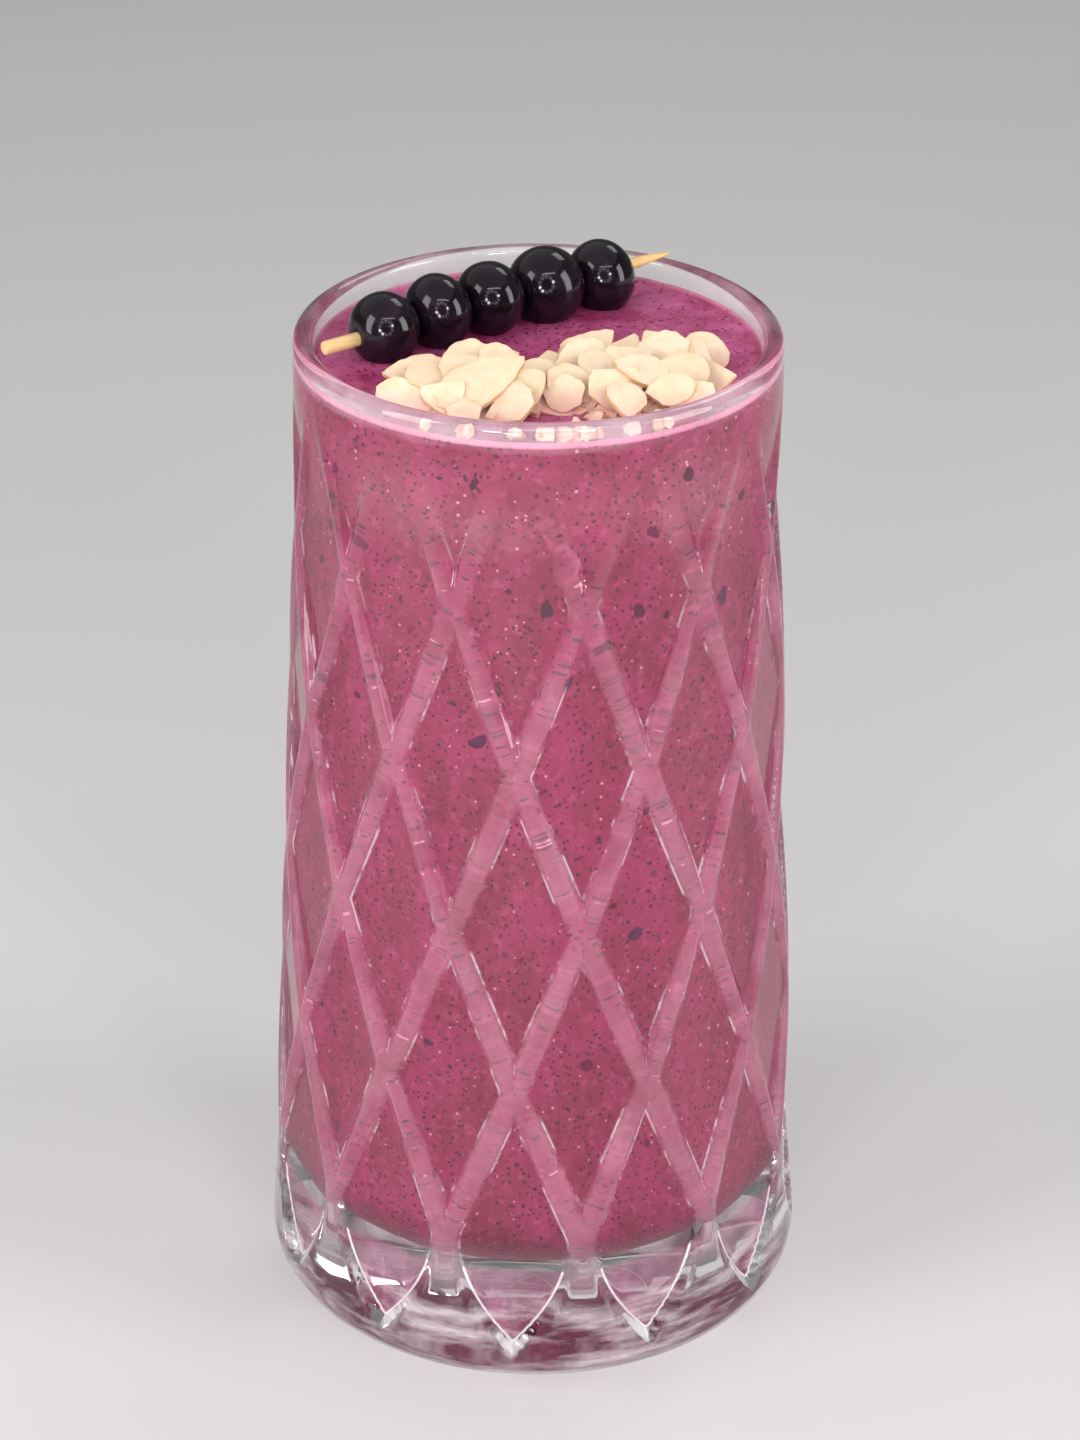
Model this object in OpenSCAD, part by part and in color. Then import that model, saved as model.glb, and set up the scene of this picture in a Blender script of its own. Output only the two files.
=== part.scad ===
// Berry smoothie in a tall diamond-cut glass, topped with a skewer of
// berries and a drift of sliced almonds. Millimetres, +Z up.
// The origin is at the middle of the underside of the foot. -Y is the front.

/* [Glass] */
// Height of the glass from its foot to its lip
glass_h = 168; // [135:1:205]
// Widest diameter, just above the rounded heel
foot_d = 88.3; // [80:0.1:108]
// Outside diameter at the lip
rim_d = 75.5; // [66:0.1:84]
// Diameter gained from the lip to the lower end of the neck
neck_swell = 0.6; // [0:0.1:2]
// Height of the almost straight neck
neck_h = 24; // [16:1:32]
// Wall at the lip
wall = 3.1; // [2.4:0.1:4]
// Wall just above the inside lower corner
wall_low = 4.9; // [4:0.1:7]
// Thickness of the solid base
base_t = 19.5; // [12:0.5:26]
// Radius of the inside lower corner
corner_r = 11; // [6:0.5:16]
// Radius of the heel
heel_r = 8; // [4:0.5:9]
// Depth of the hollow under the foot
recess = 0.8; // [0.4:0.1:2]
// Width of the flat ring that the glass stands on
ring_w = 5; // [3:0.5:8]

/* [Cut pattern] */
// Columns of diamonds in each of the two interleaved sets
columns = 12; // [10:1:14]
// Turn of the first column away from the front
pattern_turn = -4.3; // [-15:0.1:15]
// Rows of diamonds, counting both sets, the open one under the lip too
rows = 6; // [4:2:8]
// Height of the middle of the lowest row
first_row = 28.5; // [26:0.5:34]
// Distance from the lip down to the middle of the highest row
top_row_drop = 2.5; // [1:0.5:6]
// Height of the tips of the lowest cuts
vee_tip = 9.5; // [8:0.5:12]
// Depth of a facet at its middle
facet_depth = 1.6; // [1:0.1:1.9]
// Depth that is left at the upper tips of the highest facets
fade_depth = 0.4; // [0.2:0.1:0.8]
// Width of the ribs between the facets
rib_w = 3.4; // [2.4:0.1:4.4]

/* [Smoothie] */
// Distance from the lip down to the smoothie
level_drop = 4.2; // [4.1:0.1:12]

/* [Skewer] */
// Length of the stick
stick_len = 65; // [54:1:78]
// Thickness of the stick
stick_d = 2.2; // [1.8:0.1:3]
// Length of its tapered point
point_len = 12; // [6:1:16]
// Space between the middle of the blunt end and the inside of the glass
stick_gap = 1.4; // [1.3:0.1:4]
// Direction of the blunt end from the axis of the glass, in plan
stick_from = 191; // [180:1:200]
// Height of the blunt end above the smoothie
stick_z = 3.4; // [2.5:0.1:5]
// Direction of the stick in plan, turned from +X toward +Y
stick_turn = 34; // [20:1:45]
// Clearance between the pointed end and the lip that it passes over
lip_gap = 0.9; // [0.5:0.1:2]

/* [Berries] */
// Bare stick before the first berry
berry_start = 5.9; // [3:0.1:8]
// Size of each berry along the stick
berry_w = [10, 9.4, 9.8, 11.2, 9.6]; // [8:0.1:13]
// Diameter of each berry across the stick
berry_d = [11.8, 12.2, 12, 12.8, 12.2]; // [10:0.1:14]
// Rise of each berry's middle above the stick's axis
berry_up = [0.5, 0.9, 0.7, 0.3, -0.8]; // [-1:0.1:1]

/* [Almond flakes] */
// Height of the drift of flakes above the smoothie
heap_h = 6; // [4:0.1:7]
// Thickness of the drift at its edge
heap_edge = 1; // [0.6:0.1:1.6]
// Space between the drift and the glass
heap_wall_gap = 0.7; // [0.5:0.1:2]
// Space between the drift and the row of berries, in plan
heap_berry_gap = 0.5; // [0.4:0.1:2]
// Middle of the drift, left to right
heap_x = 3; // [0:0.5:6]
// Middle of the drift, front to back
heap_y = -14; // [-16:0.5:-12]
// How far back the drift reaches on the right
heap_back = 4; // [2:0.5:6]
// How far the drift reaches to the left
heap_left = 27; // [24:0.5:29]

/* [Hidden] */
$fn = 96;
foot_r = foot_d / 2;
rim_r = rim_d / 2;
neck_r = rim_r + neck_swell / 2;
neck_z = glass_h - neck_h;
lip_r = wall / 2;
lip_z = glass_h - lip_r;
bore_r = rim_r - wall;
corner_z = base_t + corner_r;
bore_low_r = outer_r(corner_z) - wall_low;
level = glass_h - level_drop;
half_step = 180 / columns;
stick_r = stick_d / 2;
tip_r = 0.15;
half_pitch = (glass_h - top_row_drop - first_row) / (rows - 1);
stick_xy = (bore_r - stick_gap) * [cos(stick_from), sin(stick_from)];
stick_end = [stick_xy.x, stick_xy.y, level + stick_z];
berry_n = len(berry_w);
// Direction of the stick and the direction across it, both in plan
along = [cos(stick_turn), sin(stick_turn)];
across = [sin(stick_turn), -cos(stick_turn)];
// Where the stick meets the circle of the lip's crest, and how thick it is there
lip_b = stick_xy * along;
lip_t = min(stick_len, -lip_b + sqrt(lip_b * lip_b - stick_xy * stick_xy
    + pow(rim_r - lip_r, 2)));
lip_stick_r = min(stick_r,
    tip_r + (stick_r - tip_r) * (stick_len - lip_t) / point_len);
stick_rise = atan((glass_h + lip_gap + lip_stick_r - stick_end.z) / lip_t);
widest_berry = max(berry_d) / 2;
heap_rings = 8;
heap_sides = 40;

// Outside radius of the glass at height z, before the cuts
function outer_r(z) = z < neck_z
    ? foot_r + (neck_r - foot_r) * (z - heel_r) / (neck_z - heel_r)
    : neck_r + (rim_r - neck_r) * (z - neck_z) / (lip_z - neck_z);

// One quarter of a disc, toward +X and -Y
module quarter(r) {
    intersection() {
        circle(r);
        translate([0, -r]) square(r);
    }
}

// Half section of the space inside the glass, up to height top
module bore_section(top) {
    polygon([[0, base_t], [bore_low_r - corner_r, base_t],
             [bore_low_r - corner_r, corner_z], [bore_low_r, corner_z],
             [bore_r, neck_z], [bore_r, top], [0, top]]);
    translate([bore_low_r - corner_r, corner_z]) quarter(corner_r);
}

// Half section of the glass without its inside
module outer_section() {
    polygon([[0, recess], [foot_r - heel_r - ring_w - recess, recess],
             [foot_r - heel_r - ring_w, 0], [foot_r - heel_r, 0],
             [foot_r - heel_r, heel_r], [foot_r, heel_r],
             [neck_r, neck_z], [rim_r, lip_z], [0, lip_z]]);
    translate([foot_r - heel_r, heel_r]) quarter(heel_r);
}

// Half section of the plain glass, with its rounded lip
module glass_section() {
    difference() {
        outer_section();
        bore_section(glass_h);
    }
    translate([rim_r - lip_r, lip_z]) intersection() {
        circle(lip_r);
        translate([-lip_r, 0]) square([wall, lip_r]);
    }
}

// Lean of the ribs away from the vertical at height z
function lean(z) = atan(outer_r(z) * half_step * PI / 180 / half_pitch);
// Share of half_pitch that a diamond's half height leaves to the rib
function tip_gap(z) = rib_w / 2 / sin(lean(z));
// Half width of a diamond whose flat face is r from the axis
function side_w(z, r) =
    r * tan(half_step - rib_w / 2 / cos(lean(z)) / outer_r(z) * 180 / PI);

// Cutter that leaves a flat face: low_z and top_z are its tips, wide_z its
// widest height, w its half width there, and d the depth at the two tips
module flat_cut(low_z, wide_z, top_z, w, d_low, d_top) {
    r_low = outer_r(low_z) - d_low;
    r_top = outer_r(top_z) - d_top;
    tilt = atan((r_low - r_top) / (top_z - low_z));
    r_mid = r_low + (r_top - r_low) * (wide_z - low_z) / (top_z - low_z);
    translate([0, -r_mid, wide_z]) rotate([90 - tilt, 0, 0])
        linear_extrude(height = facet_depth + 5)
            polygon([[0, low_z - wide_z], [w, 0], [0, top_z - wide_z], [-w, 0]]);
}

// Diamond of row i, counted upward from 0
module diamond(i) {
    z = first_row + i * half_pitch;
    low_z = i == 0 ? vee_tip : z - half_pitch + tip_gap(z);
    top_z = z + half_pitch - tip_gap(z);
    w = side_w(z, outer_r(z) - facet_depth);
    d_top = i == rows - 2 ? fade_depth : facet_depth;
    flat_cut(low_z, z, top_z, w, facet_depth, d_top);
}

// Open upper end of the interleaved columns, which runs out below the lip
module top_vee() {
    low_z = first_row + (rows - 2) * half_pitch + tip_gap(neck_z);
    top_z = lip_z - 6;
    w = side_w(neck_z, neck_r) * (top_z - low_z) / half_pitch;
    flat_cut(low_z, top_z - 1, top_z, w, fade_depth * 2, -0.1);
}

module glass() {
    color([0.86, 0.9, 0.9, 0.5]) difference() {
        rotate_extrude() glass_section();
        for (k = [0 : columns - 1]) rotate(pattern_turn + k * 2 * half_step) {
            for (i = [0 : 2 : rows - 2]) diamond(i);
            rotate(half_step) {
                for (i = [1 : 2 : rows - 3]) diamond(i);
                top_vee();
            }
        }
    }
}

module smoothie() {
    color([0.66, 0.26, 0.38]) difference() {
        rotate_extrude() bore_section(level);
        for (i = [0 : berry_n - 1]) berry_shape(i);
    }
}

// Places its children with their Z axis along the stick, t from the blunt end
module on_stick(t) {
    translate(stick_end) rotate([0, 90 - stick_rise, stick_turn])
        translate([0, 0, t]) children();
}

// The stick itself: blunt at one end, tapered to a point at the other
module stick_shape() {
    on_stick(0) rotate_extrude()
        polygon([[0, 0], [stick_r, 0], [stick_r, stick_len - point_len],
                 [tip_r, stick_len], [0, stick_len]]);
}

module skewer() {
    color([0.86, 0.74, 0.52]) stick_shape();
}

// Distance from the blunt end to the near face of berry i
function berry_t(i) = i == 0 ? berry_start : berry_t(i - 1) + berry_w[i - 1];

// Berry i without its hole: round across the stick, pressed flat by its
// neighbours along it
module berry_shape(i) {
    w = berry_w[i] / 2;
    r = berry_d[i] / 2;
    round_r = w * 1.1;
    on_stick(berry_t(i) + w) translate([-berry_up[i], 0, 0])
        rotate_extrude() intersection() {
            union() {
                translate([r - round_r, 0]) circle(round_r);
                translate([0, -w]) square([max(r - round_r, 0.1), 2 * w]);
            }
            translate([0, -w]) square([r, 2 * w]);
        }
}

module berry(i) {
    color([0.13, 0.07, 0.13]) difference() {
        berry_shape(i);
        stick_shape();
    }
}

module berry_1() { berry(0); }
module berry_2() { berry(1); }
module berry_3() { berry(2); }
module berry_4() { berry(3); }
module berry_5() { berry(4); }

// Distance from the drift's middle to a straight limit with outward normal n
// that lies d from the axis of the glass, in plan direction u
function to_line(u, n, d) = let (c = u * n)
    c > 0.01 ? (d - [heap_x, heap_y] * n) / c : 1000;
// The same to the inside of the glass
function to_wall(u) = let (
        c = [heap_x, heap_y], b = c * u, r = bore_r - heap_wall_gap)
    -b + sqrt(b * b - c * c + r * r);
// Plan distance from the drift's middle to its edge in direction a
function reach(a) = let (
        u = [cos(a), sin(a)],
        row = stick_xy * across,
        d = [to_wall(u),
             to_line(u, -across, -row - widest_berry - heap_berry_gap),
             to_line(u, [0, 1], heap_back),
             to_line(u, [-1, 0], heap_left)])
    pow(pow(d[0], -10) + pow(d[1], -10) + pow(d[2], -10) + pow(d[3], -10), -0.1);
// Height of the drift above the smoothie: two humps with a dip between them
function heap_top(x, s) = heap_edge
    + (heap_h - heap_edge) * (1 - s * s)
    * (1 - 0.25 * exp(-pow((x - heap_x) / 5, 2)) + 0.12 * sin(x * 26));

module almond_flakes() {
    top = [for (k = [0 : heap_rings - 1], j = [0 : heap_sides - 1]) let (
            a = j * 360 / heap_sides,
            s = 1 - k / heap_rings,
            x = heap_x + s * reach(a) * cos(a),
            y = heap_y + s * reach(a) * sin(a))
        [x, y, level + heap_top(x, s)]];
    rim = [for (j = [0 : heap_sides - 1]) let (a = j * 360 / heap_sides)
        [heap_x + reach(a) * cos(a), heap_y + reach(a) * sin(a), level]];
    n = heap_rings * heap_sides;
    pts = concat(top, rim, [[heap_x, heap_y, level + heap_top(heap_x, 0)],
                            [heap_x, heap_y, level]]);
    upper = [for (k = [0 : heap_rings - 2], j = [0 : heap_sides - 1]) let (
            p = k * heap_sides + j,
            q = k * heap_sides + (j + 1) % heap_sides)
        each [[p, p + heap_sides, q], [q, p + heap_sides, q + heap_sides]]];
    edge = [for (j = [0 : heap_sides - 1]) let (q = (j + 1) % heap_sides)
        each [[n + j, j, n + q], [n + q, j, q]]];
    cap = [for (j = [0 : heap_sides - 1]) let (
            p = (heap_rings - 1) * heap_sides, q = (j + 1) % heap_sides)
        [p + j, n + heap_sides, p + q]];
    floor = [for (j = [0 : heap_sides - 1])
        [n + j, n + (j + 1) % heap_sides, n + heap_sides + 1]];
    color([0.95, 0.86, 0.72])
        polyhedron(pts, concat(upper, edge, cap, floor));
}

glass();
smoothie();
skewer();
berry_1();
berry_2();
berry_3();
berry_4();
berry_5();
almond_flakes();
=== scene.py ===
"""Looks of a berry smoothie in a diamond-cut glass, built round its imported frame."""

import math
import random

import bmesh
import bpy
import numpy as np
from bpy.props import FloatProperty, FloatVectorProperty, IntProperty, PointerProperty
from mathutils import Euler, Matrix, Vector, noise


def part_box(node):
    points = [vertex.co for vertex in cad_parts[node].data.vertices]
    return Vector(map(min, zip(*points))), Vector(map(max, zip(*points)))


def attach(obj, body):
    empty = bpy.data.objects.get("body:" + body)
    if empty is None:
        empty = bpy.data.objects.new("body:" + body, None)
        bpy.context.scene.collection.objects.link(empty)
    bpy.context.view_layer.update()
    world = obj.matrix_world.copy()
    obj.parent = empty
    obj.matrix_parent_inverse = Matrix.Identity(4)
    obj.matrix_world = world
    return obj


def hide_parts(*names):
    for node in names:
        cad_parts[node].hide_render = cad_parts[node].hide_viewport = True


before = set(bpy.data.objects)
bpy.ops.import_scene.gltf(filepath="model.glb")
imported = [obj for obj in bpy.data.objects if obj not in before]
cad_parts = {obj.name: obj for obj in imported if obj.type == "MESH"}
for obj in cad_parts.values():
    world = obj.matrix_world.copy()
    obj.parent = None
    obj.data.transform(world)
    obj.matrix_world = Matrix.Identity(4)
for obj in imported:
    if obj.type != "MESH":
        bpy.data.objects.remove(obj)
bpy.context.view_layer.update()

bl_info = {
    "name": "Berry smoothie",
    "version": (1, 0, 0),
    "blender": (4, 5, 0),
    "location": "View3D > Sidebar > Smoothie",
    "description": "Models a berry smoothie in a diamond-cut glass with its toppings",
    "category": "Object",
}

MM = 0.001
GLASS_LOW, GLASS_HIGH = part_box("glass")
DRINK_LOW, DRINK_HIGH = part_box("smoothie")


# Sizes and colours that a user may change


def length(name, about, default, low=0.0):
    """A size in metres, given in millimetres."""
    return FloatProperty(
        name=name,
        description=about,
        default=default * MM,
        min=low * MM,
        unit="LENGTH",
        precision=4,
    )


def colour(name, about, default):
    return FloatVectorProperty(
        name=name,
        description=about,
        default=default,
        size=3,
        min=0.0,
        max=1.0,
        subtype="COLOR",
    )


class SmoothieGlassSizes(bpy.types.PropertyGroup):
    """Sizes of the glass and of its cut pattern"""

    rim_d: length("Lip diameter", "Outside diameter at the lip", 75.5)
    neck_d: length("Neck diameter", "Outside diameter where the taper starts", 76.1)
    neck_h: length("Neck height", "Height of the almost straight neck", 24)
    wall: length("Wall", "Wall at the lip", 3.1)
    corner_r: length("Inside corner", "Radius of the inside lower corner", 11)
    heel_r: length("Heel", "Radius of the heel", 8)
    recess: length("Recess", "Depth of the hollow under the foot", 0.8)
    ring_w: length("Foot ring", "Width of the ring that the glass stands on", 5)
    columns: IntProperty(
        name="Columns",
        description="Columns of diamonds in each of the two interleaved sets",
        default=12,
        min=6,
        max=20,
    )
    turn: FloatProperty(
        name="Pattern turn",
        description="Turn of the first column away from the front",
        default=math.radians(-4.3),
        subtype="ANGLE",
    )
    first_row: length("Lowest row", "Height of the middle of the lowest row", 28.5)
    half_pitch: length("Row step", "Height from a row to the row of its neighbours", 27.4)
    vee_tip: length("Lowest tips", "Height of the tips of the lowest cuts", 9.5)
    depth: length("Facet depth", "Depth of a facet at its middle", 1.6)
    rib_w: length("Rib width", "Width of the ribs between the facets", 3.4)
    tint: colour("Glass tint", "Colour of the clear glass", (0.985, 0.995, 0.992))


class SmoothieDrinkSizes(bpy.types.PropertyGroup):
    """Sizes and colours of the drink"""

    reach: length("Reach", "How far the drink reaches into the wall", 0.12)
    climb: length("Climb", "How far the drink climbs the glass at its edge", 0.8)
    swell: length("Swell", "Height of the swell under the almonds", 1.6)
    light: colour("Light pink", "Lightest parts of the drink", (0.265, 0.015, 0.075))
    deep: colour("Deep pink", "Deepest parts of the drink", (0.155, 0.006, 0.036))
    froth: colour("Surface pink", "Open surface of the drink", (0.46, 0.090, 0.230))
    skin: colour("Berry skin", "Bits of skin in the drink", (0.065, 0.001, 0.018))
    bits: IntProperty(
        name="Skin bits",
        description="Bits of berry skin that lie against the glass",
        default=400,
        min=0,
        max=2000,
    )


class SmoothieToppingSizes(bpy.types.PropertyGroup):
    """Sizes and colours of the berries, the stick and the almond slices"""

    stick_len: length("Stick", "Length of the stick", 65)
    stick_d: length("Stick thickness", "Thickness of the stick", 2.2)
    point_len: length("Point", "Length of the stick's tapered point", 12)
    stick_gap: length("Stick gap", "Space from the blunt end's middle to the glass", 1.4)
    stick_up: length("Stick height", "Height of the blunt end above the drink", 3.4)
    stick_from: FloatProperty(
        name="Blunt end",
        description="Direction of the blunt end from the axis, in plan",
        default=math.radians(191),
        subtype="ANGLE",
    )
    stick_turn: FloatProperty(
        name="Stick direction",
        description="Direction of the stick in plan",
        default=math.radians(34),
        subtype="ANGLE",
    )
    berry_start: length("Bare stick", "Bare stick before the first berry", 5.9)
    wood: colour("Wood", "Colour of the stick", (0.80, 0.58, 0.30))
    berry: colour("Berry", "Colour of the berries' skin", (0.006, 0.003, 0.006))
    almond: colour("Almond", "Colour of the almond slices", (0.78, 0.60, 0.42))
    crumbs: IntProperty(
        name="Crumbs",
        description="Broken bits of almond round the foot of the drift",
        default=44,
        min=0,
        max=200,
    )
    loose: IntProperty(
        name="Lower slices",
        description="Almond slices under the ones on top",
        default=80,
        min=0,
        max=200,
    )


class SmoothieStageSizes(bpy.types.PropertyGroup):
    """Floor, lights and camera"""

    floor: colour("Floor", "Colour of the floor", (0.60, 0.59, 0.585))
    distance: length("Camera distance", "From the camera to its target", 675.3)
    target: length("Target height", "Height of the camera's target", 100.5)
    lens: FloatProperty(
        name="Lens",
        description="Focal length on a frame 36 mm high",
        default=105.07,
        min=20,
    )


def sizes(group):
    return getattr(bpy.context.scene, "smoothie_" + group)


# Shader maths


class Knob:
    """A shader output that takes ordinary arithmetic, one Math node a step."""

    def __init__(self, tree, socket):
        self.tree = tree
        self.socket = socket

    def math(self, operation, *others):
        return add_node(
            self.tree, "ShaderNodeMath", {"operation": operation}, [self, *others]
        )

    def other(self, name):
        """Another output of the same node."""
        return Knob(self.tree, self.socket.node.outputs[name])

    def __add__(self, value):
        return self.math("ADD", value)

    def __sub__(self, value):
        return self.math("SUBTRACT", value)

    def __rsub__(self, value):
        return (self * -1) + value

    def __mul__(self, value):
        return self.math("MULTIPLY", value)

    __radd__ = __add__
    __rmul__ = __mul__

    def clamp(self):
        """The value kept from 0 to 1."""
        return self.math("MINIMUM", 1).math("MAXIMUM", 0)


def add_node(tree, kind, settings=None, values=(), out=0):
    """Adds a node: its settings first, then the values or links of its inputs."""
    node = tree.nodes.new(kind)
    for key, value in (settings or {}).items():
        if key == "stops":
            ramp = node.color_ramp.elements
            while len(ramp) < len(value):
                ramp.new(0.5)
            for stop, (where, shade) in zip(ramp, value):
                stop.position = where
                stop.color = (*shade, 1)
        else:
            setattr(node, key, value)
    pairs = values.items() if isinstance(values, dict) else enumerate(values)
    for key, value in pairs:
        if isinstance(value, Knob):
            tree.links.new(value.socket, node.inputs[key])
        else:
            node.inputs[key].default_value = value
    return Knob(tree, node.outputs[out])


def shade4(value):
    return value if isinstance(value, Knob) else (*value, 1)


def mix(tree, factor, a, b):
    """Colour a where factor is 0, b where it is 1."""
    return add_node(
        tree,
        "ShaderNodeMix",
        {"data_type": "RGBA"},
        {0: factor, 6: shade4(a), 7: shade4(b)},
        out=2,
    )


def new_look(name):
    """A material with an empty node tree, and where the surface is, in metres."""
    look = bpy.data.materials.new(name)
    look.use_nodes = True
    look.node_tree.nodes.clear()
    place = add_node(look.node_tree, "ShaderNodeTexCoord", out="Object")
    return look, look.node_tree, place


def moved(tree, place, by=(0, 0, 0), turn=(0, 0, 0), scale=(1, 1, 1)):
    """The place pattern coordinates are read at, moved, turned and stretched."""
    return add_node(
        tree,
        "ShaderNodeMapping",
        None,
        {"Vector": place, "Location": by, "Rotation": turn, "Scale": scale},
    )


def cloudy(tree, place, scale, detail=3, rough=0.55):
    """Soft noise of about 1/scale metres, from 0 to 1."""
    return add_node(
        tree,
        "ShaderNodeTexNoise",
        None,
        {"Vector": place, "Scale": scale, "Detail": detail, "Roughness": rough},
    )


def step(value, low, high):
    """0 below low, 1 above high, and a straight rise between."""
    return ((value - low) * (1 / (high - low))).clamp()


def dots(tree, place, scale, share, biggest, soft=0.03):
    """1 inside scattered dots of uneven size, in about that share of the cells."""
    near = add_node(
        tree, "ShaderNodeTexVoronoi", None, {"Vector": place, "Scale": scale}
    )
    luck = add_node(tree, "ShaderNodeSeparateColor", None, [near.other("Color")])
    chosen = ((luck - (1 - share)) * 100).clamp()
    size = chosen * (luck.other("Green") * 0.45 + 0.55) * biggest
    return ((size - near) * (1 / soft)).clamp()


def attribute(tree, name):
    """A value that the mesh carries from point to point or from face to face."""
    return add_node(tree, "ShaderNodeAttribute", {"attribute_name": name}, out="Fac")


def finish_look(tree, surface):
    out = tree.nodes.new("ShaderNodeOutputMaterial")
    tree.links.new(surface.socket, out.inputs["Surface"])


def principled(tree, values):
    return add_node(tree, "ShaderNodeBsdfPrincipled", None, values)


def bumps(tree, height, strength, distance):
    return add_node(
        tree,
        "ShaderNodeBump",
        None,
        {"Height": height, "Strength": strength, "Distance": distance},
    )


# Mesh helpers


def deselect():
    bpy.ops.object.select_all(action="DESELECT")


def edit_mode(on):
    bpy.ops.object.mode_set(mode="EDIT" if on else "OBJECT")


def get_points(piece):
    flat = np.empty(len(piece.data.vertices) * 3)
    piece.data.vertices.foreach_get("co", flat)
    return flat.reshape(-1, 3)


def set_points(piece, points):
    piece.data.vertices.foreach_set("co", points.astype(np.float32).ravel())
    piece.data.update()


def set_values(piece, name, values):
    layer = piece.data.attributes.new(name, "FLOAT", "POINT")
    layer.data.foreach_set("value", np.asarray(values, np.float32))


def name_piece(piece, name):
    piece.name = name
    piece.data.name = name


def apply_place():
    bpy.ops.object.transform_apply(location=True, rotation=True, scale=True)


def apply_modifiers(piece):
    for modifier in list(piece.modifiers):
        bpy.ops.object.modifier_apply(modifier=modifier.name)


def dress(piece, look, slot, *nodes):
    """Gives a finished piece its material, its body and the nodes it stands for."""
    piece.data.materials.clear()
    piece.data.materials.append(look)
    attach(piece, "root")
    if nodes:
        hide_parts(*nodes)


def arc(centre, radius, start, end, steps):
    """Points of an arc in the half section, from start to end degrees."""
    for i in range(steps + 1):
        a = math.radians(start + (end - start) * i / steps)
        yield centre[0] + radius * math.cos(a), centre[1] + radius * math.sin(a)


def turned(name, profile, sides, bands=()):
    """A closed shape turned about the axis of the glass from (radius, height) pairs.

    Each band is (i, cuts): the faces between points i and i + 1 are cut that often.
    """
    same = 0.02 * MM
    deselect()
    bpy.ops.mesh.primitive_circle_add(
        vertices=sides, radius=profile[0][0], location=(0, 0, profile[0][1])
    )
    piece = bpy.context.object
    name_piece(piece, name)
    apply_place()
    edit_mode(True)
    bpy.ops.mesh.select_all(action="SELECT")
    for (r0, z0), (r1, z1) in zip(profile, profile[1:]):
        bpy.ops.mesh.extrude_region_move(
            TRANSFORM_OT_translate={"value": (0, 0, z1 - z0)}
        )
        bpy.ops.transform.resize(
            value=(r1 / r0, r1 / r0, 1), center_override=(0, 0, 0)
        )
    bpy.ops.mesh.merge(type="CENTER")
    bpy.ops.mesh.select_all(action="DESELECT")
    bpy.ops.mesh.select_non_manifold()
    bpy.ops.mesh.merge(type="CENTER")
    bpy.ops.mesh.select_mode(type="EDGE")
    for i, cuts in bands:
        ends = [Vector(p) for p in (profile[i], profile[i + 1])]
        mesh = bmesh.from_edit_mesh(piece.data)
        for edge in mesh.edges:
            here = [Vector((v.co.xy.length, v.co.z)) for v in edge.verts]
            edge.select_set(
                any(
                    (here[0] - a).length < same and (here[1] - b).length < same
                    for a, b in (ends, ends[::-1])
                )
            )
        bmesh.update_edit_mesh(piece.data)
        bpy.ops.mesh.subdivide(number_cuts=cuts)
    bpy.ops.mesh.select_all(action="SELECT")
    bpy.ops.mesh.normals_make_consistent(inside=False)
    edit_mode(False)
    bpy.ops.object.shade_smooth()
    return piece


def smooth_step(t):
    t = np.clip(t, 0, 1)
    return t * t * (3 - 2 * t)


# Shape of the glass

# Turned shapes start and end this far from the axis, and are closed by a merge there
AXIS_GAP = 0.5 * MM


def glass_numbers():
    """Radii and heights that the glass and the drink share."""
    g = sizes("glass")
    n = {
        "foot_r": GLASS_HIGH.x,
        "neck_r": g.neck_d / 2,
        "rim_r": g.rim_d / 2,
        "neck_z": GLASS_HIGH.z - g.neck_h,
        "lip_r": g.wall / 2,
        "lip_z": GLASS_HIGH.z - g.wall / 2,
        "bore_r": g.rim_d / 2 - g.wall,
        "base_z": DRINK_LOW.z,
        "corner_z": DRINK_LOW.z + g.corner_r,
        "bore_low_r": DRINK_HIGH.x,
        "level": DRINK_HIGH.z,
    }
    return g, n


def outer_radius(z, g, n):
    """Outside radius of the plain glass at heights z."""
    taper = (z - g.heel_r) / (n["neck_z"] - g.heel_r)
    neck = (z - n["neck_z"]) / (n["lip_z"] - n["neck_z"])
    return np.where(
        z < n["neck_z"],
        n["foot_r"] + (n["neck_r"] - n["foot_r"]) * taper,
        n["neck_r"] + (n["rim_r"] - n["neck_r"]) * neck,
    )


def half_rib(g):
    """From a rib's middle to where it has run out into the facets."""
    return 0.62 * g.rib_w


def shield_height(g):
    """Height of the lower half of the lowest cuts, which are blunt shields."""
    return g.first_row - g.vee_tip + 2.5 * MM


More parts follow.
